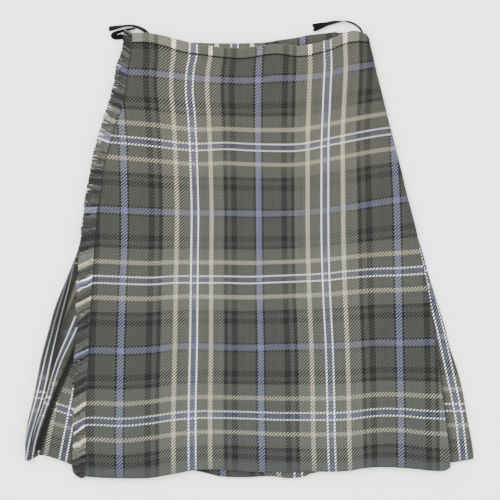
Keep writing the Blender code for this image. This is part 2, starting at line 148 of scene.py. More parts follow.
# Lines that run across the kilt at X: both waist edges, the waistband's seam and both hems.
FRONT_WAIST = table(
    "x y",
    (-163, 298.8), (-144, 298.8), (-123, 296), (-102, 290.5), (-82, 285.6), (-58, 281), (-17, 277.6),
    (8, 279.7), (20, 281), (40, 282.9), (70, 280.8), (86, 283.3), (100, 286.3), (112, 290.1), (125, 295.6),
    (142, 301.8), (153, 300.4), (160, 298), (164, 294.1),
)
BACK_WAIST = table(
    "x y",
    (-163, 297), (-137, 297), (-102, 289), (-82, 286.3), (-58, 285.2), (-10, 285), (23, 286.3), (40, 289.1),
    (65, 292.7), (83, 296.4), (102, 298.5), (125, 301), (142, 300), (157, 298), (165, 292),
)
BAND_SEAM = table(
    "x y",
    (-163, 285), (-137, 284.3), (-116, 279.4), (-95, 272.5), (-83, 270.1), (-58, 266.8), (-33, 263.7),
    (-10, 262.5), (9, 265), (27, 268), (40, 268.7), (62, 265.6), (80, 266.3), (100, 271.4), (113, 274.6),
    (125, 280.1), (132, 283), (142, 285), (153, 285.8), (164, 284.6),
)
FRONT_HEM = table(
    "x y",
    (-231, -312.6), (-206, -314.6), (-178, -315.3), (-137, -315.3), (-116, -311.9), (-98, -308.4),
    (-75, -304.3), (-40, -303.6), (1, -306.4), (45, -307), (85, -305.4), (107, -306.8), (124, -306.4),
    (142, -304.6), (154, -302.2), (169, -300.7), (194, -300.4), (212, -301.4), (230, -302.8), (248, -305.1),
    (263, -305.7), (271, -305), (277, -300.8),
)
PLEAT_HEM = table(
    "x y",
    (-311, -291), (-302, -291), (-296, -287), (-289, -285), (-277, -287.5), (-258, -291), (-244, -299.5),
    (-206, -305.7), (-151, -307), (-95, -303), (-57, -309.8), (-44, -313.4), (-8, -315), (28, -313.4),
    (52, -316), (74, -314.6), (84, -310), (107, -305.7), (132, -300), (208, -296), (263, -295.5),
    (291, -293), (311, -289),
)

# Underside of the apron above the table: down the kilt, and across it from fringe to folded edge.
APRON_LIFT = table(
    "down edge inside_edge centre inside_fold fold",
    (0.0, 12.8, 13.6, 13.6, 13.6, 11.8),
    (0.03, 12.7, 13.6, 13.6, 13.6, 11.8),
    (0.08, 12.3, 12.6, 11.8, 12.2, 11),
    (0.25, 11.9, 11.5, 10.2, 10.8, 10.3),
    (0.5, 11.8, 11.2, 9.4, 10.6, 10.3),
    (0.75, 11.8, 10.9, 8.9, 10.5, 10.3),
    (1.0, 11.2, 10.5, 8.6, 10.5, 10.3),
)
LIFT_ACROSS = (0.0, 0.12, 0.5, 0.86, 1.0)

# Soft ridges that rise towards the apron's hem, and slacker ones anywhere in the cloth.
APRON_RIDGES = table(
    "x width height reach",
    (-176, 30, 2.6, 0.42), (-88, 24, 3.4, 0.55), (-14, 34, 2.2, 0.36), (74, 26, 3.1, 0.48),
    (150, 30, 2.4, 0.6), (214, 22, 2, 0.34),
)
APRON_SWELLS = table(
    "x y along across turn height",
    (-96, 196, 60, 16, 74, 0.5),
    (84, 214, 48, 13, 108, 0.45),
    (-152, 58, 70, 15, 96, 0.5),
    (12, 92, 84, 20, 84, 0.4),
    (150, 20, 62, 14, 102, 0.5),
    (-46, -66, 76, 18, 93, 0.45),
    (196, -112, 58, 15, 80, 0.4),
    (-188, -170, 52, 14, 88, 0.5),
)
UNDER_LIFT = table(
    "down lift",
    (0.0, 9.1), (0.03, 9.1), (0.1, 7), (0.3, 6.4), (1.0, 6.4),
)

# Fold lines of the three pleats that show beside the fringe, from the outside inwards.
LEFT_PLEATS = table(
    "y outer_fold middle_fold inner_edge stack",
    (300, -151, -143, -140, 0),
    (150, -188, -177, -173, 0),
    (50, -210, -197, -193, 0),
    (0, -222, -206, -201, 0),
    (-50, -244, -216, -210, 0),
    (-100, -257, -229, -221, 0.3),
    (-150, -268, -248.4, -243, 1),
    (-200, -281, -270.3, -263.5, 1),
    (-250, -297.5, -287.5, -281, 1),
    (-280, -302, -296, -288.5, 1),
    (-316, -303, -298, -288, 1),
)

# Where the middles of the stripes lie on the apron, lavender by turns with white and blue.
ROWS_OF_CHECK = table(
    "x row0 row1 row2 row3 row4 row5",
    (-240, 244.3, 156.2, 55.6, -42.5, -141.9, -237.7),
    (-213, 244.3, 154.6, 55.6, -41.1, -139.1, -236.7),
    (-174, 244.3, 151.1, 53.8, -42.5, -139.8, -238.1),
    (-137, 243.1, 147.6, 52.2, -43.5, -138.1, -235),
    (-102, 239.1, 143.4, 51.2, -41.4, -133.9, -229.8),
    (-75, 235.8, 141.2, 50.5, -41.4, -133.4, -227.6),
    (-33, 233.6, 142.9, 50, -41.4, -135, -227.8),
    (1, 232.8, 141.2, 49.5, -42.1, -135.5, -228.7),
    (36, 235.6, 140.1, 49.5, -40.7, -134.7, -230.1),
    (70, 236.6, 140.8, 50.5, -39.5, -133.9, -230.1),
    (105, 240.7, 147.4, 53.8, -37.7, -133.4, -230.2),
    (135, 249, 153.4, 57.6, -34.5, -132.2, -229.2),
    (174, 255.6, 160.8, 63.8, -31.5, -128.8, -224.7),
    (208, 261.5, 165.4, 69, -30.5, -128.8, -224.4),
    (243, 267.5, 170.7, 73.6, -28.1, -128.1, -227.3),
    (280, 273.8, 176.2, 78.4, -25.6, -127.2, -228.8),
)
COLUMNS_OF_CHECK = table(
    "y column0 column1 column2 column3 column4 column5",
    (286, -183.7, -76.2, 15.5, 107.4, 203, 301.5),
    (264, -182.1, -77.3, 13.8, 108.4, 203.4, 301.9),
    (253, -181.4, -80.1, 13.2, 108.8, 203.6, 302.1),
    (234, -180, -82.2, 12.6, 107.9, 202.9, 301.4),
    (213, -178.6, -82.3, 12.4, 106.9, 201.9, 300.4),
    (190, -176.9, -79.9, 12.3, 106, 200.3, 298.8),
    (168, -175.4, -78.4, 12.2, 105.1, 199, 297.5),
    (141, -173.9, -77, 12.4, 104.4, 199.6, 298.1),
    (82, -172.3, -75.1, 12.9, 104.1, 202.7, 301.2),
    (50, -172, -74.4, 13.2, 104, 203.9, 302.4),
    (-1, -172.5, -75.1, 13.7, 104.5, 204.8, 303.3),
    (-42, -174.2, -75.5, 14.1, 105.9, 205.5, 304),
    (-67, -175.1, -75.8, 14.4, 106.9, 206, 304.5),
    (-135, -177.2, -76.6, 15.9, 110.4, 207.4, 305.9),
    (-208, -178.4, -78.3, 16.4, 112.5, 208.7, 307.2),
    (-256, -179.1, -78.6, 17, 113.3, 209.2, 307.7),
    (-304, -178.3, -78.4, 17.7, 114.8, 209.6, 308.1),
)

# Middle of the white and blue stripe down each side pleat, and half the way between its white lines.
LEFT_STRIPES = table(
    "y outer outer_half middle middle_half inner",
    (290, -165, 1.5, -146, 4, -130),
    (60, -224, 1.5, -204, 4, -192),
    (-31, -246.3, 2.1, -214, 4, -206),
    (-59, -253.6, 2.9, -222, 4, -212),
    (-88, -261.8, 3.4, -234, 4, -218),
    (-114, -268.4, 3.7, -244.6, 4.2, -223),
    (-150, -277, 4.1, -260.8, 3.3, -230),
    (-176, -282.6, 4.3, -269.9, 2.9, -235),
    (-202, -288.6, 4.3, -277.1, 2.8, -240),
    (-249, -301.8, 3.4, -293.5, 2.8, -249.6),
    (-270, -306.5, 2.8, -298.6, 2.5, -253.7),
    (-300, -311, 2.5, -303, 2.4, -259.5),
)
RIGHT_STRIPE = table(
    "y x",
    (290, 168), (15, 237.1), (-14, 244), (-46, 250.9), (-75, 255.7), (-114, 265.1), (-172, 277.5),
    (-206, 284.8), (-235, 290.2), (-287, 295.9),
)
RIGHT_ROWS = (-254.6, -162.8, -69.7, 24.2, 120.1, 218.2, 314)   # counted downwards

# Painted light on the front band at X, from a deep painted shade up to the pale left end.
BAND_LIGHT = table(
    "x light",
    (-161, 1), (-145, 0.95), (-125, 0.64), (-91, 0.52), (-62, 0.31), (-40, 0.34), (0, 0.42), (55, 0.48),
    (115, 0.41), (138, 0.61), (150, 0.56), (158, 0.4), (164, 0.34),
)

# The middle line of each hanger ribbon, with its lean: 90 stands on edge, 0 lies flat.
RIGHT_LOOP = table(
    "x y z lean",
    (156.6, 297, 4.6, 90), (155.4, 301.6, 4.6, 90), (151.4, 307, 4.6, 90), (143.8, 312.2, 4.6, 90),
    (135, 315, 4.6, 86), (125, 315, 4.4, 74), (115, 313.6, 3.8, 50), (105, 312, 2.6, 28),
    (96, 310.8, 1.6, 14), (89, 309.6, 1.2, 10),
)
LEFT_LOOP = table(
    "x y z lean",
    (-140.6, 298.1, 5, 58), (-144.8, 302.2, 5, 56), (-151.5, 306, 5, 60), (-159, 308.6, 4.8, 66),
    (-167, 309.4, 4.8, 70), (-176, 308.2, 4.6, 64), (-185, 306.5, 3.8, 50), (-193.5, 304.8, 2.8, 42),
)
LEFT_TAIL = table(
    "x y z lean",
    (-158, 306.4, 3.6, 66), (-169, 304.4, 3.8, 56), (-178.6, 302, 3.8, 50), (-185.6, 299.4, 3.6, 38),
    (-188.6, 296.6, 2.6, 14), (-186, 294.4, 1.6, 8), (-181, 294.2, 2.2, 10), (-176.4, 294.8, 3, 18),
    (-172.6, 292.4, 2.4, 16), (-170.6, 287.4, 1.2, 8),
)

# The check from the middle of the lavender stripe to the middle of the blue one.
LAVENDER = (90, 91, 117)
DARK = (12, 12, 11)
CHARCOAL = (52, 53, 49)
ASH = (77, 78, 71)
CREAM = (164, 159, 136)
WHITE = (252, 252, 242)
BLUE = (80, 82, 106)
CHECK = table(
    "threads colour",
    (4, LAVENDER), (3, DARK), (26, CHARCOAL), (8, DARK), (6, CHARCOAL), (5, DARK), (16, ASH),
    (6, CREAM), (15.75, ASH), (2.5, WHITE), (3.75, BLUE),
)


# Reading the tables


def blend(a, b, share):
    return a + (b - a) * share


def soft_step(value):
    held = np.clip(value, 0.0, 1.0)
    return held * held * (3.0 - 2.0 * held)


def curve(keys, values, at):
    """Values on a smooth curve through points, at any number of places."""
    keys = np.asarray(keys, float)
    values = np.asarray(values, float)
    at = np.clip(np.asarray(at, float), keys[0], keys[-1])
    last = len(keys) - 1
    place = np.clip(np.searchsorted(keys, at) - 1, 0, last - 1)
    order = np.arange(last + 1)
    above = np.minimum(order + 1, last)
    below = np.maximum(order - 1, 0)
    slopes = (values[above] - values[below]) / (keys[above] - keys[below])
    span = keys[place + 1] - keys[place]
    t = (at - keys[place]) / span
    rise = values[place + 1] - values[place]
    start = slopes[place] * span - rise
    end = -slopes[place + 1] * span + rise
    return values[place] + t * rise + t * (1 - t) * (start * (1 - t) + end * t)


def read(rows, column, at):
    """A table's named column at values of its first column."""
    rows = sorted(rows, key=lambda row: row[0])
    return curve([row[0] for row in rows], [getattr(row, column) for row in rows], at)


def row_at(rows, at):
    """Every column of a table at one value of the first."""
    kind = type(rows[0])
    return kind(at, *(float(read(rows, name, at)) for name in kind._fields[1:]))


def count_between(lines, at):
    """How many lines lie before a place, with the share of the way to the next one."""
    count = (at - lines[0]) / (lines[1] - lines[0])
    for k in range(1, len(lines) - 1):
        here = k + (at - lines[k]) / (lines[k + 1] - lines[k])
        count = np.where(at >= lines[k], here, count)
    return count


def apron_threads(x, y):
    columns = [read(COLUMNS_OF_CHECK, f"column{k}", y) for k in range(6)]
    rows = [-read(ROWS_OF_CHECK, f"row{k}", x) for k in range(6)]
    return count_between(columns, x), count_between(rows, -y)


# Shapes


def apron_place(across, down):
    """X and Y of a place in the apron, from its fringe to its fold and from waist to hem."""
    top = read(FRONT_WAIST, "y", blend(*APRON_WAIST, across)) - BAND_CLEARANCE
    hem = read(FRONT_HEM, "y", blend(*APRON_HEM, across))
    y = blend(top, hem, down)
    left = read(SIDES, "fringe_line", y)
    right = read(SIDES, "apron_fold", y) - CLOTH_GAP
    return blend(left, right, across), y


def apron_height(across, down):
    """Middle of the apron's cloth above the table."""
    across, down = np.broadcast_arrays(np.asarray(across, float), np.asarray(down, float))
    levels = [read(APRON_LIFT, name, down) for name in APRON_LIFT[0]._fields[1:]]
    height = np.zeros(across.shape)
    for place in np.ndindex(across.shape):
        height[place] = curve(LIFT_ACROSS, [level[place] for level in levels], across[place])
    hem_x = blend(*APRON_HEM, across)
    for ridge in APRON_RIDGES:
        bell = np.exp(-(((hem_x - ridge.x) / ridge.width) ** 2))
        height = height + ridge.height * bell * soft_step((down - 1 + ridge.reach) / ridge.reach)
    return height + CLOTH_GAP


def swell_height(x, y):
    """Slack in the laid cloth, a few tenths of a millimetre high."""
    height = np.zeros(np.shape(x))
    for swell in APRON_SWELLS:
        turn = math.radians(swell.turn)
        along = (x - swell.x) * math.cos(turn) + (y - swell.y) * math.sin(turn)
        across = (y - swell.y) * math.cos(turn) - (x - swell.x) * math.sin(turn)
        height = height + swell.height * np.exp(-((along / swell.along) ** 2) - (across / swell.across) ** 2)
    return height


def shares(count):
    return np.linspace(0.0, 1.0, count + 1)


def half_turn(from_level, to_level, side):
    """Offsets across and heights of cloth that turns back on itself, bulging to one side."""
    reach = (to_level - from_level) / 2
    points = []
    for degrees in (-90, -50, 0, 50, 90):
        turn = math.radians(degrees)
        offset = side * abs(reach) * (math.cos(turn) - 1.0)
        points.append((offset, from_level + reach * (1.0 + math.sin(turn))))
    return points


def cloth(name, node, slot, material, wall, x, y, z, u, v, shade=1.0, hem=0.0):
    """Thin cloth through a grid of points, with each point's place in the check, painted light and hem mark.
    """
    grid = np.stack(np.broadcast_arrays(x, y, z, u, v, shade, hem), axis=-1)
    bm = bmesh.new()
    bmesh.ops.create_grid(bm, x_segments=grid.shape[1] - 1, y_segments=grid.shape[0] - 1, size=1.0)
    spots = grid.reshape(-1, 7)
    for vert, spot in zip(bm.verts, spots):
        vert.co = Vector(spot[:3] * MM)
    weave = bm.loops.layers.uv.new("weave")
    # The second map holds each point's painted shade and its hem mark.
    painted_shade_and_hem = bm.loops.layers.uv.new("painted_shade_and_hem")
    bm.verts.index_update()
    for face in bm.faces:
        face.smooth = True
        for loop in face.loops:
            spot = spots[loop.vert.index]
            loop[weave].uv = spot[3:5]
            loop[painted_shade_and_hem].uv = spot[5:]
    piece = add_piece(name, bm, material)
    thickness = piece.modifiers.new("Cloth thickness", "SOLIDIFY")
    thickness.thickness = wall * MM
    thickness.offset = 0.0
    thickness.use_rim = True
    return settle(piece, node)


def wool_cloth(name, node, settings, *measures):
    wool = twill("Checked wool", settings.wool_tone, YARNS)
    return cloth(name, node, "kilt_wool", wool, settings.cloth_wall, *measures)


def band_wool_cloth(name, node, settings, *measures):
    wool = twill("Checked wool of the band", settings.band_tone, BAND_YARNS)
    return cloth(name, node, "band_wool", wool, settings.cloth_wall, *measures)


def layers(rows):
    """One grid of each measure from rows of measures."""
    return np.moveaxis(np.array([np.broadcast_arrays(*row) for row in rows]), 1, 0)


def add_piece(name, bm, material):
    mesh = bpy.data.meshes.new(name)
    bm.to_mesh(mesh)
    bm.free()
    mesh.materials.append(material)
    piece = bpy.data.objects.new(name, mesh)
    bpy.context.scene.collection.objects.link(piece)
    return piece


def settle(piece, node):
    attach(piece, "root")
    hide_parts(node)
    return piece


# Aprons


def apron_cloth(settings):
    across = shares(150)[None, :]
    down = 1.0 - shares(150)[:, None]
    x, y = apron_place(across, down)
    keys = shares(30), shares(40)
    coarse = apron_height(keys[0][None, :], keys[1][:, None])
    z = from_coarse(coarse, keys, across, down)
    z = z + swell_height(x, y) * soft_step((1.0 - across) / 0.06)
    u, v = apron_threads(x, y)
    step = PRESSED_STEP * blend(TUCK_OPENING, 1.0, soft_step(down / 0.1))[:, 0]
    edge_x, edge_y, edge_z, edge_u, edge_v = (values[:, -1] for values in (x, y, z, u, v))
    pitch = (edge_u - u[:, -20]) / (edge_x - x[:, -20])
    tuck = []
    for degrees in (60, 20, -20, -60):
        turn = math.radians(degrees)
        tuck_x = edge_x + step / 2 * (math.cos(turn) - 0.2)
        tuck_z = edge_z + step / 2 * (math.sin(turn) - 1.0)
        tuck.append((tuck_x, edge_y, tuck_z, edge_u + pitch * (90 - degrees) / 90, edge_v))
    for share in (0.0, 0.1, 0.3, 0.65, 1.0):
        inward = 1.0 - APRON_TUCK * share / (edge_x - x[:, 0])
        level = from_coarse(coarse, keys, inward[:, None], down)[:, 0]
        tuck_u = edge_u + pitch * (2 + APRON_TUCK * share)
        tuck.append((*apron_place(inward, down[:, 0]), level - step, tuck_u, edge_v))
    grid = np.concatenate([np.array([x, y, z, u, v]), np.array(tuck).transpose(1, 2, 0)], axis=2)
    # Painted shade: a dark line where the cloth meets the fringe, and darker cloth at the folded edge and
    # turned under it.
    shade = np.ones(grid.shape[1:])
    shade[:, 0] = 0.25
    shade[:, 1] = 0.7
    shade[:, -7:] = 0.5
    return wool_cloth("apron_cloth", "outer_apron", settings, *grid, shade, hem_mark(down))


def hem_mark(down):
    """1 at a hem and 0 a little above it."""
    return soft_step((down - 0.968) / 0.02)


def from_coarse(coarse, keys, across, down):
    """Heights between the points of a coarse grid, straight in both directions."""
    spots = []
    for at, lines in zip(np.broadcast_arrays(across, down), keys):
        k = np.clip(np.searchsorted(lines, at) - 1, 0, len(lines) - 2)
        spots.append((k, np.clip((at - lines[k]) / (lines[k + 1] - lines[k]), 0.0, 1.0)))
    (i, s), (j, t) = spots
    low, high = (blend(coarse[k, i], coarse[k, i + 1], s) for k in (j, j + 1))
    return blend(low, high, t)


def shown_hem(x):
    """1 where the pleats behind show below the apron's hem, 0 beside it."""
    return soft_step((x + 96.0) / 14.0) * soft_step((118.0 - x) / 14.0)


def under_cloth(settings):
    across = shares(60)[None, :]
    down = 1.0 - shares(80)[:, None]
    top = read(BACK_WAIST, "y", blend(*UNDER_WAIST, across)) - BAND_CLEARANCE
    hem_x = blend(*UNDER_HEM, across)
    hem = read(PLEAT_HEM, "y", hem_x) + 3.0 - 3.0 * shown_hem(hem_x)
    y = blend(top, hem, down)
    left = read(SIDES, "fringe_line", y) + SIDE_LAP + 4.0
    right = read(SIDES, "apron_fold", y) - APRON_TUCK - 3.0
    x = blend(left, right, across)
    z = read(UNDER_LIFT, "lift", down) + CLOTH_GAP
    # Painted shadow: a dark patch where the apron's hem lifts off this cloth.
    shade = 1.0 - 0.93 * np.exp(-(((x + 66.0) / 13.0) ** 4))
    return wool_cloth("under_apron_cloth", "under_apron", settings, x, y, z, under_column(x, y),
                      apron_threads(x, y)[1], shade)


def under_column(x, y):
    down = soft_step((285.0 - y) / 590.0)
    return 4.0 + (x - blend(73.6, -35.9, down)) / blend(93.9, 103.6, down)


# Pleats


def back_place(across, down):
    """X and Y of a place in the pleated back, from its left to its right and from waist to hem."""
    top = read(BACK_WAIST, "y", blend(*BACK_TOP, across)) - 2.2 - BAND_CLEARANCE
    hem = read(PLEAT_HEM, "y", blend(*BACK_HEM, across))
    y = blend(top, hem, down)
    left = read(SIDES, "pleats_left", y) + SIDE_TURN + SIDE_GAP
    right = read(SIDES, "pleats_right", y) - SIDE_TURN - SIDE_GAP
    return blend(left, right, across), y


def back_folds():
    """Edges of the pleats as shares of the back's width, a little uneven."""
    chance = random.Random(7)
    inside = [(k + chance.uniform(-0.1, 0.1)) / PLEATS_AT_BACK for k in range(1, PLEATS_AT_BACK)]
    return [0.0, *inside, 1.0]


def back_section(folds, down, width):
    """Share across, height and place in the check along one row of the pleated back."""
    step = blend(PRESSED_STEP, LOOSE_STEP, float(soft_step((down - 0.2) / 0.6)))
    sewn = 1.0 - float(soft_step((down - 0.03) / 0.04))
    floor = CLOTH_GAP + BACK_BAND_LIFT * sewn + (FLOOR_AIR if down < 0.25 else 0.0)
    half = width / PLEATS_AT_BACK / HALF_SETT / 2
    section = []
    for k in range(PLEATS_AT_BACK):
        left, right = folds[k:k + 2]
        middle = 2 * k + 1
        for share in (0.04, 0.35, 0.65, 1.0):
            section.append((blend(left, right - 3.6 / width, share), floor, middle + (2 * share - 1) * half))
        section.append((right - 2.9 / width, floor + step, middle + half + 0.03))
        section.append((right - 2.2 / width, floor + 2 * step, middle + half + 0.06))
        if k < PLEATS_AT_BACK - 1:
            tucked = folds[k + 2] - PLEAT_CLIMB / width
            section.append((blend(right, tucked, 0.6), floor + 2 * step, middle + half + 0.16))
            for offset, height in half_turn(floor + 2 * step, floor + step, 1):
                section.append((tucked + offset / width, height, middle + half + 0.25))
            for offset, height in half_turn(floor + step, floor, -1)[:4]:
                section.append((right + offset / width, height, middle + 2 - half - 0.02))
    return section


def pleated_cloth(settings):
    folds = back_folds()
    downs = 1.0 - shares(46)
    rows = []
    for down in downs:
        width = back_place(1.0, down)[0] - back_place(0.0, down)[0]
        across, height, u = np.array(back_section(folds, down, width)).T
        x, y = back_place(across, down)
        y = y + 3.0 * down ** 8 * shown_hem(x)
        rows.append((x, y, height, u, apron_threads(np.clip(x, -220, 270), y)[1]))
    hem = hem_mark(downs)[:, None]
    # Painted shade: the whole pleated back is darkened to 0.6 for the shade it lies in under the aprons.
    return wool_cloth("pleated_back_cloth", "pleated_back", settings, *layers(rows), 0.6, hem)


def side_y(x_top, x_hem, down):
    """Y on a line that runs down a side pleat from one X at its top to another at its hem."""
    top = read(BACK_WAIST, "y", x_top) - SIDE_PLEAT_TOP
    return float(blend(top, read(PLEAT_HEM, "y", x_hem), down))


def left_section(y):
    """X, height, place in the check and painted light along the left pleats, from under the kilt to the
    apron.
    """
    side, fold, stripe = row_at(SIDES, y), row_at(LEFT_PLEATS, y), row_at(LEFT_STRIPES, y)
    outline, outer, middle, inner = side.pleats_left, fold.outer_fold, fold.middle_fold, fold.inner_edge
    end = side.fringe_line + SIDE_LAP
    middles = stripe.outer, stripe.middle, stripe.inner
    halves = stripe.outer_half, stripe.middle_half, WHITE_LINE

    def on(x, place):
        stretch = WHITE_LINE / halves[place]
        return 2 * place + 1 + (x - middles[place]) * stretch / HALF_SETT

    def open_cloth(x, height, place, light):
        section.append((x, height, on(x, place), light))

    def fold_edge(x, level, side, u, light):
        for offset, height in half_turn(level, level - PRESSED_STEP, side):
            section.append((x + offset, height, u, light))

    middle_top = SIDE_LEVEL + 2 * PRESSED_STEP
    outer_top = middle_top + min(1.0, max(0.0, fold.stack)) * 2 * PRESSED_STEP
    outer_width = outer - outline
    middle_width = middle - outer
    # Painted shade: the pleats are painted darker towards the waist, where they go under the apron.
    painted_light_share = float(soft_step((-95 - y) / 160))
    outer_painted_light = blend(0.13, 0.86, painted_light_share)
    middle_painted_light = blend(0.55, 0.82, painted_light_share)
    outer_u, middle_u = on(outer, 0), on(middle, 1)
    under_outer = on(outer + 1.0, 1)
    inner_u = on(inner + 0.6, 2)
    # The edge turned under the outer pleat is painted dark as shade.
    section = [
        (outline + SIDE_TURN, CLOTH_GAP + FLOOR_AIR, on(outline - 16, 0), 0.5),
        (outline + 2.6, CLOTH_GAP + FLOOR_AIR, on(outline - 11, 0), 0.4),
        (outline + 1.1, 1.3, on(outline - 9.5, 0), 0.35),
        (outline + CLOTH_GAP, 2.8, on(outline - 8, 0), 0.4),
        (outline + CLOTH_GAP, 5.0, on(outline - 5.5, 0), 0.3 * outer_painted_light),
    ]
    open_cloth(outline + 0.2 * outer_width, outer_top - 1.5, 0, 0.6 * outer_painted_light)
    open_cloth(outline + 0.5 * outer_width, outer_top, 0, outer_painted_light)
    open_cloth(outline + 0.85 * outer_width, outer_top, 0, 0.9 * outer_painted_light)
    fold_edge(outer, outer_top, 1, outer_u + 0.01, 0.4 * outer_painted_light)
    fold_edge(outer - 0.4 * outer_width, outer_top - PRESSED_STEP, -1, blend(outer_u, under_outer, 0.5), 0.1)
    section.append((outer + 1.0, outer_top - 2 * PRESSED_STEP, under_outer, 0.25))
    open_cloth(outer + 0.42 * middle_width, middle_top, 1, middle_painted_light)
    open_cloth(outer + 0.8 * middle_width, middle_top, 1, middle_painted_light)
    # Painted shadow: the middle pleat's fold darkens into a near-black gap before the inner pleat, which is
    # painted darker again towards the fringe.
    fold_edge(middle, middle_top, 1, middle_u + 0.01, 0.22)
    fold_edge(middle - max(3.6, 0.45 * middle_width), middle_top - PRESSED_STEP, -1, middle_u + 0.03, 0.02)
    section.append((blend(middle, inner, 0.5), SIDE_LEVEL, inner_u - 0.04, 0.01))
    section.append((inner + 0.2, SIDE_LEVEL + 0.5, inner_u, 0.02))
    open_cloth(inner + 1.4, SIDE_LEVEL + 0.8, 2, 0.12)
    open_cloth(inner + 4.0, SIDE_LEVEL + 1.5, 2, 0.7)
    open_cloth(blend(inner, end, 0.25), SIDE_LEVEL + 1.6, 2, 0.85)
    open_cloth(blend(inner, end, 0.6), SIDE_LEVEL + 0.8, 2, 0.5)
    open_cloth(end, SIDE_LEVEL, 2, 0.3)
    return section


def left_line(down):
    """One line of the left pleats: each point's X, Y, height, place in the check and painted light."""
    first = left_section(side_y(-150, -280, down))
    last = len(first) - 1
    line = []
    for index, (x, *_) in enumerate(first):
        share = index / last
        top = read(BACK_WAIST, "y", blend(-150, -131, share)) - SIDE_PLEAT_TOP
        notch = 9.0 * math.exp(-(((x + 291.0) / 6.0) ** 2))
        y = float(blend(top, read(PLEAT_HEM, "y", x) + notch, down))
        x, z, u, light = left_section(y)[index]
        slant = 0.28 * max(0.0, x - first[-5][0]) if index > last - 5 else 0.0
        past_blue = blend(20.0, -2.0, share) - y - slant - 217.0
        line.append((x, y, z, u, 5.0 + past_blue / (93.0 if past_blue < 0 else 80.0), light))
    return line


def right_section(y):
    """X, height, place in the check and painted light along the right pleat, from under the kilt to the
    apron.
    """
    side = row_at(SIDES, y)
    outline, fold = side.pleats_right, side.apron_fold
    stripe = float(read(RIGHT_STRIPE, "x", y))
    # Painted shade on the edge turned under the pleat.
    turned = [
        (SIDE_TURN, CLOTH_GAP + FLOOR_AIR, 15, 0.5), (2.6, CLOTH_GAP + FLOOR_AIR, 10, 0.5),
        (1.0, 1.3, 8.5, 0.5), (CLOTH_GAP, 2.8, 7, 0.5), (CLOTH_GAP, 4.4, 5, 0.5), (1.2, 5.6, 0.5, 0.6),
        (2.6, SIDE_LEVEL - 0.9, -2, 0.85),
    ]
    # Painted shadow beside and under the apron's folded edge.
    shown = [
        (outline - 6.5, 0.98), (min(outline - 7.5, fold + max(2.5, 0.3 * (outline - fold))), 0.9),
        (min(outline - 8.5, fold + 0.6), 0.35), (fold - 10.0, 0.2), (fold - SIDE_LAP, 0.2),
    ]
    section = [(outline - back, z, outline + along, light) for back, z, along, light in turned]
    section += [(x, SIDE_LEVEL, x, light) for x, light in shown]
    return [(x, z, 1 + (at - stripe) / HALF_SETT, light) for x, z, at, light in section]


def right_line(down):
    line = []
    for index, (x, *_) in enumerate(right_section(side_y(163, 295, down))):
        y = side_y(163, x, down)
        x, z, u, light = right_section(y)[index]
        line.append((x, y, z, u, float(count_between(RIGHT_ROWS, -y)), light))
    return line[::-1]


def side_cloth(node, line_at, hemmed, settings):
    """The pleats at one side, from lines across them that each run round the folds."""
    downs = 1.0 - shares(90)
    grid = refine(np.array([line_at(float(down)) for down in downs]))
    hem = hemmed * hem_mark(downs)[:, None]
    return wool_cloth(node + "_cloth", node, settings, *np.moveaxis(grid, 2, 0), hem)


def refine(grid):
    """Puts more points along each long stretch of every row."""
    fine = [grid[:, :1]]
    for k in range(1, grid.shape[1]):
        length = np.linalg.norm(grid[:, k, :3] - grid[:, k - 1, :3], axis=1).max()
        parts = max(1, int(length / 6.0))
        for part in range(1, parts + 1):
            fine.append(blend(grid[:, k - 1:k], grid[:, k:k + 1], part / parts))
    return np.concatenate(fine, axis=1)


# Waistband


def folded_band(name, node, settings, x, top, low, height, u, row, light):
    """A band folded over a waist edge. Its outer leg ends at the seam."""
    outer = CLOTH_GAP + SEAM_AIR
    inner = -outer - 2 * CLOTH_GAP
    section = [(blend(low, top - 1.6, share), outer + rise)
               for share, rise in ((0.0, 0.0), (0.3, 0.25), (0.6, 0.25), (0.85, 0.0))]
    section += [(top - CLOTH_GAP + offset, rise) for offset, rise in half_turn(outer, inner, 1)]
    section += [(top - BAND_TURNED_IN / 2, inner), (top - BAND_TURNED_IN, inner)]
    rows = []
    # Each row carries the band's painted light.
    for index, (y, offset) in enumerate(section):
        distance = y - low if index < BAND_POINTS_OUT else 2 * top - low - y
        rows.append((x, y, height + offset, u, row + distance / HALF_SETT * BAND_COUNT, light))
    return band_wool_cloth(name, node, settings, *layers(rows))


def front_band(settings):
    share = shares(110)
    x = blend(*APRON_WAIST, share)
    top = read(FRONT_WAIST, "y", x)
    return folded_band("front_band_cloth", "waistband_front", settings, x, top, read(BAND_SEAM, "y", x),
                       apron_height(share, 0.0) + CLOTH_GAP, apron_threads(x, top - 7.0)[0], BAND_ROW,
                       read(BAND_LIGHT, "light", x))


def under_band(settings):
    x = blend(*UNDER_WAIST, shares(80))
    top = read(BACK_WAIST, "y", x)
    return folded_band("under_band_cloth", "waistband_under", settings, x, top, top - BAND_DEPTH,
                       UNDER_LIFT[0].lift + 2 * CLOTH_GAP, under_column(x, top), UNDER_BAND_ROW, BAND_SHADE)


def back_band(settings):
    """Its outer leg lies on the table, under the pleats."""
    x = blend(-160, 163, shares(100))
    top = read(BACK_WAIST, "y", x) - 0.8
    inner = BACK_BAND_LIFT + 2 * PRESSED_STEP + 2 * CLOTH_GAP + SEAM_AIR + CLOTH_GAP
    outer = CLOTH_GAP + FLOOR_AIR
    section = [
        (BAND_TURNED_IN, inner), (BAND_TURNED_IN / 2, inner), (2.4, inner), (1.0, inner - 0.4),
        (0.6, inner - 1.6), (0.6, outer + 1.6), (1.0, outer + 0.4), (2.4, outer), (6.0, outer),
        (10.0, outer), (BAND_DEPTH, outer),
    ]
    u = apron_threads(x, top)[0]
    rows = [(x, top - depth, height, u, UNDER_BAND_ROW + 0.015 * index, BAND_SHADE)
            for index, (depth, height) in enumerate(section)]
    return band_wool_cloth("back_band_cloth", "waistband_back", settings, *layers(rows))


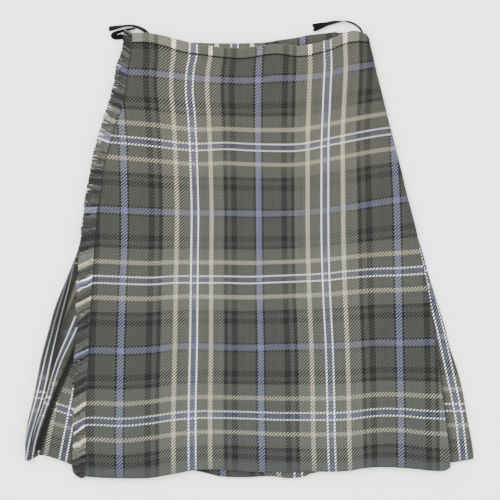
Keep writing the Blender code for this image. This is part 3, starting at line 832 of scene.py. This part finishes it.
def seam_stitches(settings):
    """One stitch of black thread after another, along the front band's lower edge."""
    chance = random.Random(5)
    x, end = STITCH_LINE
    left, right = APRON_WAIST
    bm = bmesh.new()
    while x < end:
        ahead = x + settings.stitch
        y = float(read(BAND_SEAM, "y", x))
        y_ahead = float(read(BAND_SEAM, "y", ahead))
        z = float(apron_height((x - left) / (right - left), 0.0)) + 2 * CLOTH_GAP + SEAM_AIR + 0.55
        turn = math.atan2(y_ahead - y, ahead - x) + chance.uniform(-0.05, 0.05)
        place = Matrix.Translation(Vector(((x + ahead) / 2, (y + y_ahead) / 2 + 0.2, z)) * MM)
        place = place @ Matrix.Rotation(turn, 4, "Z") @ Matrix.Rotation(math.pi / 2, 4, "Y")
        made = bmesh.ops.create_uvsphere(bm, u_segments=8, v_segments=6, radius=MM)
        size = Matrix.Diagonal((0.36, 0.86, settings.stitch * 0.53, 1.0))
        bmesh.ops.transform(bm, matrix=place @ size, verts=made["verts"])
        x = ahead
    for face in bm.faces:
        face.smooth = True
    piece = add_piece("seam_stitches", bm, thread_material())
    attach(piece, "root")
    return piece


# Fringe


def fringe_turn(y):
    """Lean of the yarn ends in degrees: up at the waist, level in the middle, down at the hem."""
    lean = blend(-32, 30, float(soft_step((y + 110) / 360)))
    return lean + 20 * float(soft_step((-262 - y) / 40))


def fringe_cloth(settings):
    """Loose yarn ends in uneven tufts, each in the colour of its row of the check."""
    chance = random.Random(31)
    count = settings.fringe_ends
    bottom, top = FRINGE_SPAN
    heights = apron_height(0.0, shares(60))
    bm = bmesh.new()
    bmesh.ops.create_grid(bm, x_segments=YARN_STEPS, y_segments=YARN_ROWS * count - 1, size=1.0)
    bm.verts.ensure_lookup_table()
    bm.faces.ensure_lookup_table()
    last = YARN_ROWS - 1
    joining = [face for index, face in enumerate(bm.faces) if index // YARN_STEPS % YARN_ROWS == last]
    layer = bm.loops.layers.uv.new("weave")
    size = YARN_ROWS * (YARN_STEPS + 1)
    where = [blend(bottom, top, (index + chance.uniform(0.1, 0.9)) / count) for index in range(count)]
    roots = read(SIDES, "fringe_line", where)
    tips = read(SIDES, "fringe_tips", where)
    places = np.minimum(apron_threads(roots, np.array(where))[1], LAST_FRINGE_ROW)
    numbers = {}
    number = 0.5
    left_in_tuft = 0
    for index, y in enumerate(where):
        if left_in_tuft == 0:
            left_in_tuft = tuft_size = chance.randint(*TUFT)
            loose = 1.0 if -285 < y < 275 else 0.3
            tuft_turn = chance.uniform(-4, 4) * loose
            tuft_pull = chance.uniform(0.05, 0.25) * loose
            tuft_reach = 1.02 + chance.uniform(-0.04, 0.03) * loose
            tuft_tone = chance.uniform(0.0, 4.0)
        left_in_tuft -= 1
        least = 13.0 if y > -290 else 5.0
        reach = max(least, roots[index] - tips[index]) * tuft_reach * chance.uniform(0.95, 1.01)
        if chance.random() < 0.06 * loose:
            reach *= chance.uniform(0.6, 0.85)
        turn = math.radians(fringe_turn(y) + tuft_turn + chance.uniform(-4, 4))
        if turn < 0:
            reach = min(reach, (y + 316.0) / math.sin(-turn))
        level = np.interp((295.0 - y) / 608.0, shares(60), heights) + chance.uniform(-0.9, 0.5)
        pull = -(left_in_tuft / tuft_size - 0.5) * (top - bottom) / count * tuft_size * tuft_pull
        verts = bm.verts[index * size:(index + 1) * size]
        yarn(verts, Vector((roots[index] + 0.6, y, level)), turn, reach, pull, chance)
        if chance.random() < 0.17:
            number = tuft_tone if chance.random() < 0.4 else chance.random() * 4
        numbers[index] = (number, places[index])
    for face in bm.faces:
        face.smooth = True
        for loop in face.loops:
            loop[layer].uv = numbers[loop.vert.index // size]
    bmesh.ops.delete(bm, geom=joining, context="FACES")
    bmesh.ops.remove_doubles(bm, verts=list(bm.verts), dist=1e-8)
    return settle(add_piece("fringe_yarn", bm, fringe_wool(settings)), "apron_fringe")


def yarn(verts, root, turn, reach, pull, chance):
    """Shapes one yarn end: a thin tapered tube with three sides."""
    sway = chance.uniform(-1.5, 1.5) * min(1.0, reach / 20)
    dip = chance.uniform(0.2, 1.0)
    thick = chance.uniform(0.6, 0.95)
    way = Vector((-math.cos(turn), math.sin(turn), 0))
    side = Vector((way.y, -way.x, 0))
    for index, vert in enumerate(verts):
        around, along = divmod(index, YARN_STEPS + 1)
        share = along / YARN_STEPS
        angle = math.tau * (around % 3) / 3 + 0.6
        radius = thick * (1.0 - 0.25 * share)
        point = root + way * reach * share
        point += side * sway * math.sin(math.tau * share)
        point.y += pull * share * share
        point.z -= dip * share * share
        point += side * math.cos(angle) * radius + Vector((0, 0, math.sin(angle) * radius))
        vert.co = point * MM


# Hanger ribbons


def ribbon_rails(stations):
    """Middle point, width direction and normal of a ribbon at evenly shared stations."""
    at = np.linspace(0, len(stations) - 1, RIBBON_POINTS)
    *spots, leans = (curve(range(len(stations)), column, at) for column in zip(*stations))
    points = [Vector(spot) for spot in zip(*spots)]
    rails = []
    for k, (point, degrees) in enumerate(zip(points, leans)):
        heading = (points[min(k + 1, RIBBON_POINTS - 1)] - points[max(k - 1, 0)]).normalized()
        level_side = Vector((-heading.y, heading.x, 0)).normalized()
        lean = math.radians(degrees)
        width = level_side * math.cos(lean) + Vector((0, 0, 1)) * math.sin(lean)
        width = (width - heading * width.dot(heading)).normalized()
        rails.append((point, width, heading.cross(width)))
    return rails


def ribbon_cloth(name, node, stations, parting=0.0, doubled=True, notch=0.0):
    """A ribbon, out and back when doubled. Its second run slides sideways from the first by the parting."""
    rails = ribbon_rails(stations)
    still = Vector((0, 0, 0))
    line = [(point, width, still) for point, width, normal in rails]
    if doubled:
        tip, tip_width, tip_normal = rails[-1]
        heading = (tip - rails[-2][0]).normalized()
        for degrees in (-60, -20, 20, 60):
            turn = math.radians(degrees)
            away = heading * math.cos(turn) * RIBBON_GAP / 2
            slide = tip_width * parting * (degrees + 90) / 180
            end = tip + away + slide + tip_normal * RIBBON_GAP / 2 * (1 + math.sin(turn))
            line.append((end, tip_width, heading * notch))
        for index, (point, width, normal) in enumerate(reversed(rails)):
            slide = width * parting * (1.0 - float(soft_step(index / RIBBON_POINTS * 2.6)))
            line.append((point + normal * RIBBON_GAP + slide, width, still))
    steps = [(after[0] - before[0]).length for before, after in zip(line, line[1:])]
    along = np.cumsum([0.0, *steps]) / RIBBON_WIDTH
    rows = []
    for share in (-0.5, -0.46, -0.2, 0.0, 0.2, 0.46, 0.5):
        bow = 2 * abs(share) - 0.7
        spots = np.array([point + width * RIBBON_WIDTH * share + pull * bow for point, width, pull in line])
        rows.append((*spots.T, along, share + 0.5))
    return cloth(name, node, "black_ribbon", ribbon_material(), RIBBON_WALL, *layers(rows))


# Materials


def linear(colour, gain=1.0):
    """A screen colour from 0 to 255 as light from 0 to 1."""
    values = []
    for part in colour:
        share = part / 255
        light = share / 12.92 if share <= 0.04045 else ((share + 0.055) / 1.055) ** 2.4
        values.append(min(1.0, light * gain))
    return (*values, 1.0)


class Graph:
    """Adds nodes to one material and joins them."""

    def __init__(self, name):
        self.material = bpy.data.materials.new(name)
        self.material.use_nodes = True
        self.tree = self.material.node_tree
        self.shader = self.tree.nodes["Principled BSDF"]

    def node(self, kind, inputs=None, **settings):
        made = self.tree.nodes.new(kind)
        for name, value in settings.items():
            setattr(made, name, value)
        self.fill(made, inputs or {})
        return made

    def fill(self, made, inputs):
        """Gives a node's inputs their values, or joins them to what another node puts out."""
        for name, value in inputs.items():
            if isinstance(value, bpy.types.NodeSocket):
                self.tree.links.new(value, made.inputs[name])
            else:
                made.inputs[name].default_value = value

    def math(self, operation, *values):
        return self.node("ShaderNodeMath", dict(enumerate(values)), operation=operation).outputs[0]

    def plus(self, first, second):
        return self.math("ADD", first, second)

    def times(self, first, *others):
        for other in others:
            first = self.math("MULTIPLY", first, other)
        return first

    def sine(self, value, gain):
        return self.math("SINE", self.times(value, gain))

    def choose(self, share, first, second):
        return self.node("ShaderNodeMix", {0: share, 2: first, 3: second}, data_type="FLOAT").outputs[0]

    def mix(self, share, first, second, blend_type="MIX"):
        inputs = {0: share, 6: first, 7: second}
        return self.node("ShaderNodeMix", inputs, data_type="RGBA", blend_type=blend_type).outputs[2]

    def tint(self, colour, other):
        return self.mix(1.0, colour, other, "MULTIPLY")

    def pair(self, uv_map):
        """The two values of each point in one of its maps."""
        spot = self.node("ShaderNodeUVMap", uv_map=uv_map).outputs[0]
        return self.node("ShaderNodeSeparateXYZ", {0: spot}).outputs[:2]

    def place(self):
        return self.node("ShaderNodeTexCoord").outputs["Object"]

    def noise(self, scale, detail=3.0, rough=0.6):
        inputs = {"Vector": self.place(), "Scale": scale, "Detail": detail, "Roughness": rough}
        return self.node("ShaderNodeTexNoise", inputs).outputs[0]

    def random_of(self, value):
        return self.node("ShaderNodeTexWhiteNoise", {"W": value}, noise_dimensions="1D").outputs[0]

    def scale_to(self, value, low, high):
        """A value from 0 to 1 stretched over another range."""
        return self.plus(self.times(value, high - low), low)

    def stripes(self, place, gain):
        """Colour of the check at a place counted in half setts."""
        ramp = self.node("ShaderNodeValToRGB", {0: self.math("PINGPONG", place, 1.0)})
        ramp.color_ramp.interpolation = "CONSTANT"
        stops = ramp.color_ramp.elements
        start = 0.0
        for index, stripe in enumerate(CHECK):
            stop = stops[index] if index < 2 else stops.new(start / THREADS)
            stop.position = start / THREADS
            stop.color = linear(stripe.colour, gain)
            start += stripe.threads
        return ramp.outputs[0]

    def warm_waist_tint(self):
        """A trace warmer towards the waist and cooler towards the hem."""
        split = self.node("ShaderNodeSeparateXYZ", {0: self.place()})
        up = self.times(self.plus(split.outputs[1], 0.3), 1.6)
        return self.mix(up, (0.96, 1.0, 1.02, 1.0), (1.05, 1.01, 0.95, 1.0))

    def bump(self, height, distance, strength, **below):
        inputs = {"Strength": strength, "Distance": distance, "Height": height, **below}
        return self.node("ShaderNodeBump", inputs).outputs[0]

    def end(self, colour, roughness, normal, sheen, sheen_roughness=0.45, gloss=0.25):
        self.fill(self.shader, {
            "Base Color": colour, "Roughness": roughness, "Normal": normal, "Sheen Weight": sheen,
            "Sheen Roughness": sheen_roughness, "Specular IOR Level": gloss,
        })
        return self.material


def twill(name, gain, yarns):
    """Checked wool in a two by two twill: warp and weft threads in turn on top, with yarn slubs, nap,
    painted shade of the weave and painted light from the cloth's map.
    """
    known = bpy.data.materials.get(name)
    if known:
        return known
    graph = Graph(name)
    u, v = graph.pair("weave")
    warp_at, weft_at = graph.times(u, yarns), graph.times(v, yarns)
    warp, weft = graph.math("FLOOR", warp_at), graph.math("FLOOR", weft_at)
    phase = graph.math("FLOORED_MODULO", graph.plus(warp, weft), 4.0)
    warp_up = graph.math("LESS_THAN", phase, 1.5)
    across_warp = graph.math("SUBTRACT", warp_at, warp)
    across_weft = graph.math("SUBTRACT", weft_at, weft)

    def body(across, along):
        return graph.times(graph.sine(across, math.pi), graph.sine(along, math.pi / 2))

    warp_body = body(across_warp, graph.plus(phase, across_weft))
    weft_body = body(across_weft, graph.plus(graph.math("SUBTRACT", phase, 2.0), across_warp))
    thread = graph.choose(warp_up, weft_body, warp_body)
    warp_tone = graph.scale_to(graph.random_of(warp), 0.88, 1.12)
    weft_tone = graph.scale_to(graph.random_of(graph.plus(weft, 0.37)), 0.88, 1.12)
    tone = graph.choose(warp_up, weft_tone, warp_tone)
    colour = graph.mix(warp_up, graph.stripes(v, gain), graph.stripes(u, gain))
    slub = graph.scale_to(graph.noise(420.0), 0.74, 1.26)
    cloud = graph.scale_to(graph.noise(14.0, 2.0), 0.95, 1.05)
    fuzz = graph.scale_to(graph.noise(3600.0, 2.0), 0.8, 1.2)
    # Painted shade of the weave: each yarn darker at its edges, and the weft darker than the warp on top.
    depth = graph.times(graph.scale_to(thread, 0.15, 1.45), graph.scale_to(warp_up, 0.74, 1.26))
    shade, hem = graph.pair("painted_shade_and_hem")
    # Painted glint: white threads keep more light where shade is painted, up to full light.
    red = graph.node("ShaderNodeSeparateColor", {0: colour}).outputs[0]
    pale = graph.math("GREATER_THAN", red, min(0.95, 0.6 * gain))
    shade = graph.math("MINIMUM", graph.times(shade, graph.scale_to(pale, 1.0, max(2.3, gain))), 1.0)
    colour = graph.tint(colour, graph.times(tone, slub, cloud, fuzz, depth, shade))
    colour = graph.tint(colour, graph.warm_waist_tint())
    colour = graph.mix(graph.times(hem, 0.35), colour, HEM_TINT)
    woven = graph.bump(thread, 0.0003, 0.55)
    napped = graph.bump(graph.noise(2400.0, 4.0), 0.0004, 0.25, Normal=woven)
    return graph.end(colour, graph.scale_to(graph.noise(900.0), 0.78, 0.95), napped, 0.16)


def fringe_wool(settings):
    """Loose yarn: the colour of its row of the check, streaked along its length."""
    graph = Graph("Fringe yarn")
    number, v = graph.pair("weave")
    # Each yarn's tone and streaks differ at random; their darkest values also paint the shade in the gaps
    # between strands.
    tone = graph.scale_to(graph.random_of(number), 0.1, 1.8)
    streak = graph.math("MAXIMUM", graph.scale_to(graph.noise(420.0, 4.0, 0.7), -0.5, 2.4), 0.15)
    colour = graph.tint(graph.stripes(v, settings.fringe_tone), graph.times(tone, streak))
    fibres = graph.bump(graph.noise(2800.0, 4.0), 0.0004, 0.6)
    return graph.end(colour, graph.scale_to(graph.noise(800.0), 0.8, 0.95), fibres, 0.25)


def ribbon_material():
    """Black ribbon with fine ribs across it and a close woven edge."""
    known = bpy.data.materials.get("Black ribbon")
    if known:
        return known
    graph = Graph("Black ribbon")
    along, across = graph.pair("weave")
    rib = graph.scale_to(graph.sine(along, math.tau * 9), 0.5, 1.0)
    edge = graph.math("GREATER_THAN", graph.math("ABSOLUTE", graph.math("SUBTRACT", across, 0.5)), 0.44)
    dust = graph.scale_to(graph.noise(700.0), 0.7, 1.5)
    colour = graph.mix(edge, (0.003, 0.003, 0.0032, 1.0), (0.006, 0.006, 0.0064, 1.0))
    # Painted shade: the colour darkens in the grooves between the ribs.
    colour = graph.tint(colour, graph.times(rib, dust))
    ribs = graph.bump(rib, 0.0003, 0.7)
    return graph.end(colour, graph.scale_to(graph.noise(500.0), 0.6, 0.75), ribs, 0.02, 0.3, 0.08)


def thread_material():
    """Black sewing thread with its twist."""
    graph = Graph("Black sewing thread")
    twist = graph.noise(2600.0, 2.0)
    colour = graph.mix(twist, (0.002, 0.002, 0.0022, 1.0), (0.007, 0.007, 0.0075, 1.0))
    ply = graph.bump(twist, 0.0003, 0.5)
    return graph.end(colour, graph.scale_to(graph.noise(900.0), 0.6, 0.8), ply, 0.0, gloss=0.06)


def floor_material():
    """Matt white board with the faintest mottle."""
    graph = Graph("White board")
    mottle = graph.noise(3.0, 4.0)
    colour = graph.mix(mottle, (0.95, 0.95, 0.95, 1.0), (0.97, 0.97, 0.97, 1.0))
    grain = graph.bump(graph.noise(900.0, 2.0), 0.0002, 0.15)
    return graph.end(colour, graph.scale_to(mottle, 0.85, 0.95), grain, 0.0)


# Stage


def area_light(name, place, size, power, target):
    data = bpy.data.lights.new(name, "AREA")
    data.shape = "DISK"
    data.size = size
    data.energy = power
    lamp = bpy.data.objects.new(name, data)
    bpy.context.scene.collection.objects.link(lamp)
    lamp.location = place
    heading = Vector(target) - Vector(place)
    lamp.rotation_euler = heading.to_track_quat("-Z", "Y").to_euler()
    return lamp


def build_stage():
    bm = bmesh.new()
    bmesh.ops.create_grid(bm, x_segments=8, y_segments=8, size=4.0)
    floor = add_piece("Floor", bm, floor_material())
    lights = [
        area_light("Overhead light", (-0.5, 0.6, 2.3), 2.2, 125.0, (0, 0, 0)),
        area_light("Side light", (1.9, -1.0, 1.5), 1.6, 30.0, (0, 0, 0)),
    ]
    world = bpy.data.worlds.new("Studio air")
    world.use_nodes = True
    air = world.node_tree.nodes["Background"]
    air.inputs["Color"].default_value = (1.0, 1.0, 1.0, 1.0)
    air.inputs["Strength"].default_value = 1.6
    bpy.context.scene.world = world
    data = bpy.data.cameras.new("Camera")
    data.lens = LENS
    data.sensor_width = FILM
    camera = bpy.data.objects.new("Camera", data)
    bpy.context.scene.collection.objects.link(camera)
    camera.location = (0.0011, -0.0007, CLOTH_LEVEL + HALF_VIEW * 2 * LENS / FILM)
    bpy.context.scene.camera = camera


# Panel and operators


def number(name, description, default):
    return bpy.props.FloatProperty(name=name, description=description, default=default, unit="NONE")


class KiltSettings(bpy.types.PropertyGroup):
    cloth_wall: number("Cloth thickness", "Thickness of the wool in millimetres", 0.95)
    stitch: number("Stitch length", "Length of a stitch under the waistband in millimetres", 3.1)
    fringe_ends: bpy.props.IntProperty(
        name="Yarn ends", description="Number of yarn ends in the apron's fringe", default=1700
    )
    wool_tone: number("Wool tone", "Brightness of the dyed wool", 1.0)
    band_tone: number("Band tone", "Brightness of the waistband's wool", 2.9)
    fringe_tone: number("Fringe tone", "Brightness of the loose yarn", 0.85)


class KILT_OT_aprons(bpy.types.Operator):
    """Lays the outer apron with its fringe, and the under apron"""

    bl_idname = "kilt.aprons"
    bl_label = "Aprons and fringe"

    def execute(self, context):
        settings = context.scene.kilt
        apron = apron_cloth(settings)
        fringe = fringe_cloth(settings)
        under = under_cloth(settings)
        return {"FINISHED"}


class KILT_OT_pleats(bpy.types.Operator):
    """Folds the pleated back and the pleats that show at both sides"""

    bl_idname = "kilt.pleats"
    bl_label = "Pleats"

    def execute(self, context):
        settings = context.scene.kilt
        back = pleated_cloth(settings)
        left = side_cloth("side_pleats_left", left_line, 0, settings)
        right = side_cloth("side_pleats_right", right_line, 1, settings)
        return {"FINISHED"}


class KILT_OT_waistband(bpy.types.Operator):
    """Folds the two front stretches of waistband over the waist edges and sews the upper one"""

    bl_idname = "kilt.waistband"
    bl_label = "Waistband"

    def execute(self, context):
        settings = context.scene.kilt
        front = front_band(settings)
        stitches = seam_stitches(settings)
        under = under_band(settings)
        return {"FINISHED"}


class KILT_OT_ribbons(bpy.types.Operator):
    """Folds the back stretch of waistband and lays the black ribbons that are sewn into it"""

    bl_idname = "kilt.ribbons"
    bl_label = "Back waistband and hanger ribbons"

    def execute(self, context):
        settings = context.scene.kilt
        back = back_band(settings)
        ribbons = [
            ribbon_cloth("hanger_ribbon_right", "hanger_loop_right", RIGHT_LOOP, parting=4.6, notch=2.6),
            ribbon_cloth("hanger_ribbon_left", "hanger_loop_left", LEFT_LOOP, parting=-1.5),
            ribbon_cloth("hanger_ribbon_tail", "hanger_tail_left", LEFT_TAIL, doubled=False),
        ]
        return {"FINISHED"}


class KILT_OT_stage(bpy.types.Operator):
    """Sets the floor, the soft lights and the camera straight above"""

    bl_idname = "kilt.stage"
    bl_label = "Stage"

    def execute(self, context):
        build_stage()
        return {"FINISHED"}


class KILT_PT_panel(bpy.types.Panel):
    bl_idname = "KILT_PT_panel"
    bl_label = "Laid Kilt"
    bl_space_type = "VIEW_3D"
    bl_region_type = "UI"
    bl_category = "Kilt"

    def draw(self, context):
        column = self.layout.column()
        for name in KiltSettings.__annotations__:
            column.prop(context.scene.kilt, name)
        for operator in STEPS:
            column.operator(operator.bl_idname)


STEPS = (KILT_OT_aprons, KILT_OT_pleats, KILT_OT_waistband, KILT_OT_ribbons, KILT_OT_stage)
CLASSES = (KiltSettings, *STEPS, KILT_PT_panel)


def register():
    for item in CLASSES:
        bpy.utils.register_class(item)
    bpy.types.Scene.kilt = bpy.props.PointerProperty(type=KiltSettings)


def unregister():
    del bpy.types.Scene.kilt
    for item in reversed(CLASSES):
        bpy.utils.unregister_class(item)


def main():
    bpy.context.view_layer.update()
    register()
    bpy.ops.kilt.aprons()
    bpy.ops.kilt.pleats()
    bpy.ops.kilt.waistband()
    bpy.ops.kilt.ribbons()
    bpy.ops.kilt.stage()


if __name__ == "__main__":
    main()
